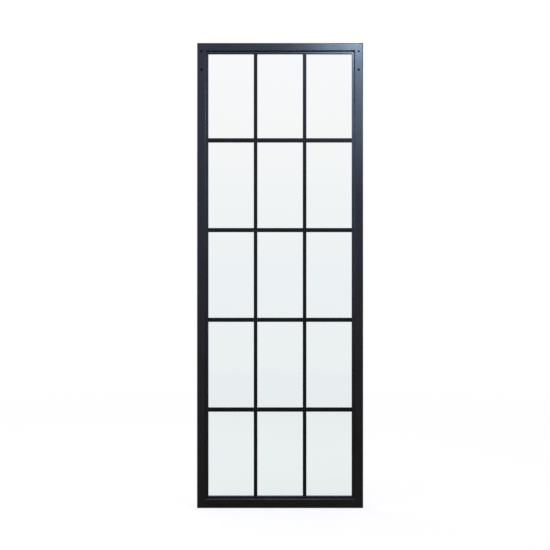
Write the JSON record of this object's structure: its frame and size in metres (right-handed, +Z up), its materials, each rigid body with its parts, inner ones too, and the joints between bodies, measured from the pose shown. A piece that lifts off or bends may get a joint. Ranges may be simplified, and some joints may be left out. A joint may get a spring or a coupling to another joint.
{
  "type": "glazed barn door",
  "caption": "Tall slim glazed barn door leaf: black steel tube frame around one glass sheet, divided into a grid of lites by flat bars on both faces, with hanger bolt holes at the top.",
  "frame": {"origin": "middle of the leaf's bottom edge, halfway through its depth", "axes": "+X across the door to the right seen from the front, -Y out of the front face, +Z up"},
  "size_m": [0.762, 0.038, 2.134],
  "materials": {
    "frame_paint": "satin black powder coat",
    "stop_paint": "satin black powder coat",
    "bar_paint": "satin black powder coat",
    "clear_glass": "clear tempered float glass with a slight cool tint",
    "black_tape": "closed-cell foam tape",
    "block_rubber": "moulded rubber",
    "black_screw": "black zinc plated",
    "bush_steel": "black phosphated"
  },
  "bodies": {
    "root": {"bottom_rail": "frame_paint", "left_stile": "frame_paint", "top_rail": "frame_paint", "right_stile": "frame_paint", "hanger_bush_upper_left": "bush_steel", "hanger_bush_upper_right": "bush_steel", "hanger_bush_lower_left": "bush_steel", "hanger_bush_lower_right": "bush_steel", "front_stop_bottom": "stop_paint", "front_stop_left": "stop_paint", "front_stop_top": "stop_paint", "front_stop_right": "stop_paint", "rear_bead_bottom": "stop_paint", "rear_bead_left": "stop_paint", "rear_bead_top": "stop_paint", "rear_bead_right": "stop_paint", "bead_screws": "black_screw", "glass_sheet": "clear_glass", "front_glazing_tape": "black_tape", "rear_glazing_tape": "black_tape", "front_bar_tape": "black_tape", "rear_bar_tape": "black_tape", "setting_block_left": "block_rubber", "setting_block_right": "block_rubber", "location_block_upper_left": "block_rubber", "location_block_upper_right": "block_rubber", "location_block_lower_left": "block_rubber", "location_block_lower_right": "block_rubber", "front_upright_bar_1": "bar_paint", "front_upright_bar_2": "bar_paint", "rear_upright_bar_1": "bar_paint", "rear_upright_bar_2": "bar_paint", "front_cross_bar_1_1": "bar_paint", "front_cross_bar_1_2": "bar_paint", "front_cross_bar_1_3": "bar_paint", "front_cross_bar_2_1": "bar_paint", "front_cross_bar_2_2": "bar_paint", "front_cross_bar_2_3": "bar_paint", "front_cross_bar_3_1": "bar_paint", "front_cross_bar_3_2": "bar_paint", "front_cross_bar_3_3": "bar_paint", "front_cross_bar_4_1": "bar_paint", "front_cross_bar_4_2": "bar_paint", "front_cross_bar_4_3": "bar_paint", "rear_cross_bar_1_1": "bar_paint", "rear_cross_bar_1_2": "bar_paint", "rear_cross_bar_1_3": "bar_paint", "rear_cross_bar_2_1": "bar_paint", "rear_cross_bar_2_2": "bar_paint", "rear_cross_bar_2_3": "bar_paint", "rear_cross_bar_3_1": "bar_paint", "rear_cross_bar_3_2": "bar_paint", "rear_cross_bar_3_3": "bar_paint", "rear_cross_bar_4_1": "bar_paint", "rear_cross_bar_4_2": "bar_paint", "rear_cross_bar_4_3": "bar_paint"}
  },
  "joints": []
}
